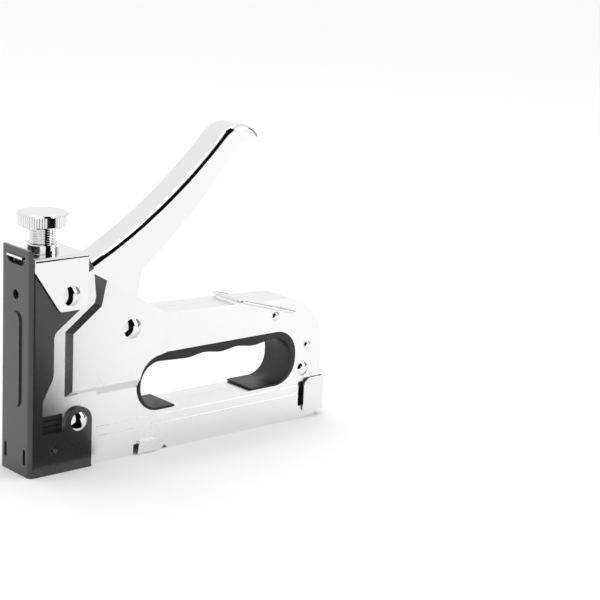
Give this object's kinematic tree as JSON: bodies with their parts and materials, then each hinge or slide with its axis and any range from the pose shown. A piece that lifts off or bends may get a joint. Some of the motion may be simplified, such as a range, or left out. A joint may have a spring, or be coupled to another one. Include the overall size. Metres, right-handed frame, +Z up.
{
  "type": "staple gun",
  "caption": "Pressed-steel hand staple gun with squeeze lever, power adjusting screw, lock bail and a pull-out staple magazine.",
  "frame": {"origin": "foot of the nose's front wall, on the mid plane, on the flat underside", "axes": "+X from the nose towards the rear, +Z up from the underside, Y across the tool"},
  "size_m": [0.1605, 0.0278, 0.1378],
  "materials": {
    "satin_chrome": "satin nickel-chrome plated pressed steel",
    "bright_chrome": "bright chrome plated steel",
    "black_enamel": "black baked enamel, satin",
    "black_phosphate": "black phosphated steel",
    "moulded_liner": "fine-textured black moulded plastic",
    "zinc_steel": "zinc plated steel",
    "spring_steel": "oiled spring steel"
  },
  "bodies": {
    "housing": {"left_body_shell": "satin_chrome", "right_body_shell": "satin_chrome", "nose_cover": "black_enamel", "top_bracket": "bright_chrome", "screw_collar": "bright_chrome", "nose_guide": "black_phosphate", "pivot_pin": "bright_chrome", "nose_rivet": "bright_chrome", "rear_rivet": "bright_chrome", "handle_rivets": "bright_chrome", "bracket_rivets": "bright_chrome", "nose_spacer": "zinc_steel", "rear_spacer": "zinc_steel", "magazine_channel": "zinc_steel", "grip_liner": "moulded_liner", "drive_spring": "spring_steel", "lever_return_spring": "spring_steel"},
    "lever": {"lever_handle": "bright_chrome", "lifting_fork": "zinc_steel", "fork_rivets": "bright_chrome", "lever_bush": "zinc_steel"},
    "striker": {"striker_carrier": "zinc_steel", "driver_blade": "spring_steel", "blade_rivets": "zinc_steel"},
    "seat": {"spring_seat": "zinc_steel"},
    "screw": {"adjusting_screw": "bright_chrome", "knurled_knob": "bright_chrome"},
    "rail": {"staple_rail": "zinc_steel", "guide_rod": "zinc_steel", "rail_end_block": "black_phosphate", "pusher_spring": "spring_steel", "latch_spring": "spring_steel"},
    "pusher": {"staple_pusher": "zinc_steel"},
    "latch": {"rail_latch": "bright_chrome"},
    "bail": {"lock_bail": "bright_chrome"}
  },
  "joints": [
    {"name": "lever_squeeze", "type": "hinge", "parent": "housing", "child": "lever", "pos_m": [0.05, 0, 0.0565], "axis": [0, 1, 0], "range_deg": [0, 43], "stiffness_Nm_per_rad": 0.6, "springref_deg": -20.05, "deforming": ["lever_return_spring"]},
    {"name": "striker_lift", "type": "slide", "parent": "housing", "child": "striker", "axis": [0, 0, 1], "range_m": [0, 0.0249], "deforming": ["drive_spring"]},
    {"name": "seat_slide", "type": "slide", "parent": "housing", "child": "seat", "axis": [0, 0, -1], "range_m": [0, 0.006]},
    {"name": "screw_turn", "type": "hinge", "parent": "seat", "child": "screw", "pos_m": [0.0123, 0, 0.09], "axis": [0, 0, -1], "range_deg": [0, 2160]},
    {"name": "rail_pull", "type": "slide", "parent": "housing", "child": "rail", "axis": [1, 0, 0], "range_m": [0, 0.095]},
    {"name": "pusher_slide", "type": "slide", "parent": "rail", "child": "pusher", "axis": [1, 0, 0], "range_m": [0, 0.085], "stiffness_N_per_m": 30, "springref_m": -0.05, "deforming": ["pusher_spring"]},
    {"name": "latch_press", "type": "slide", "parent": "rail", "child": "latch", "axis": [-1, 0, 0], "range_m": [0, 0.0022], "stiffness_N_per_m": 600, "springref_m": -0.001, "deforming": ["latch_spring"]},
    {"name": "bail_swing", "type": "hinge", "parent": "housing", "child": "bail", "pos_m": [0.1398, 0, 0.0511], "axis": [0, 1, 0], "range_deg": [0, 150]}
  ],
  "couplings": [
    {"joint": "lever_squeeze", "follows": "striker_lift", "rad_per_m": 30.113},
    {"joint": "screw_turn", "follows": "seat_slide", "rad_per_m": 6283.2}
  ]
}
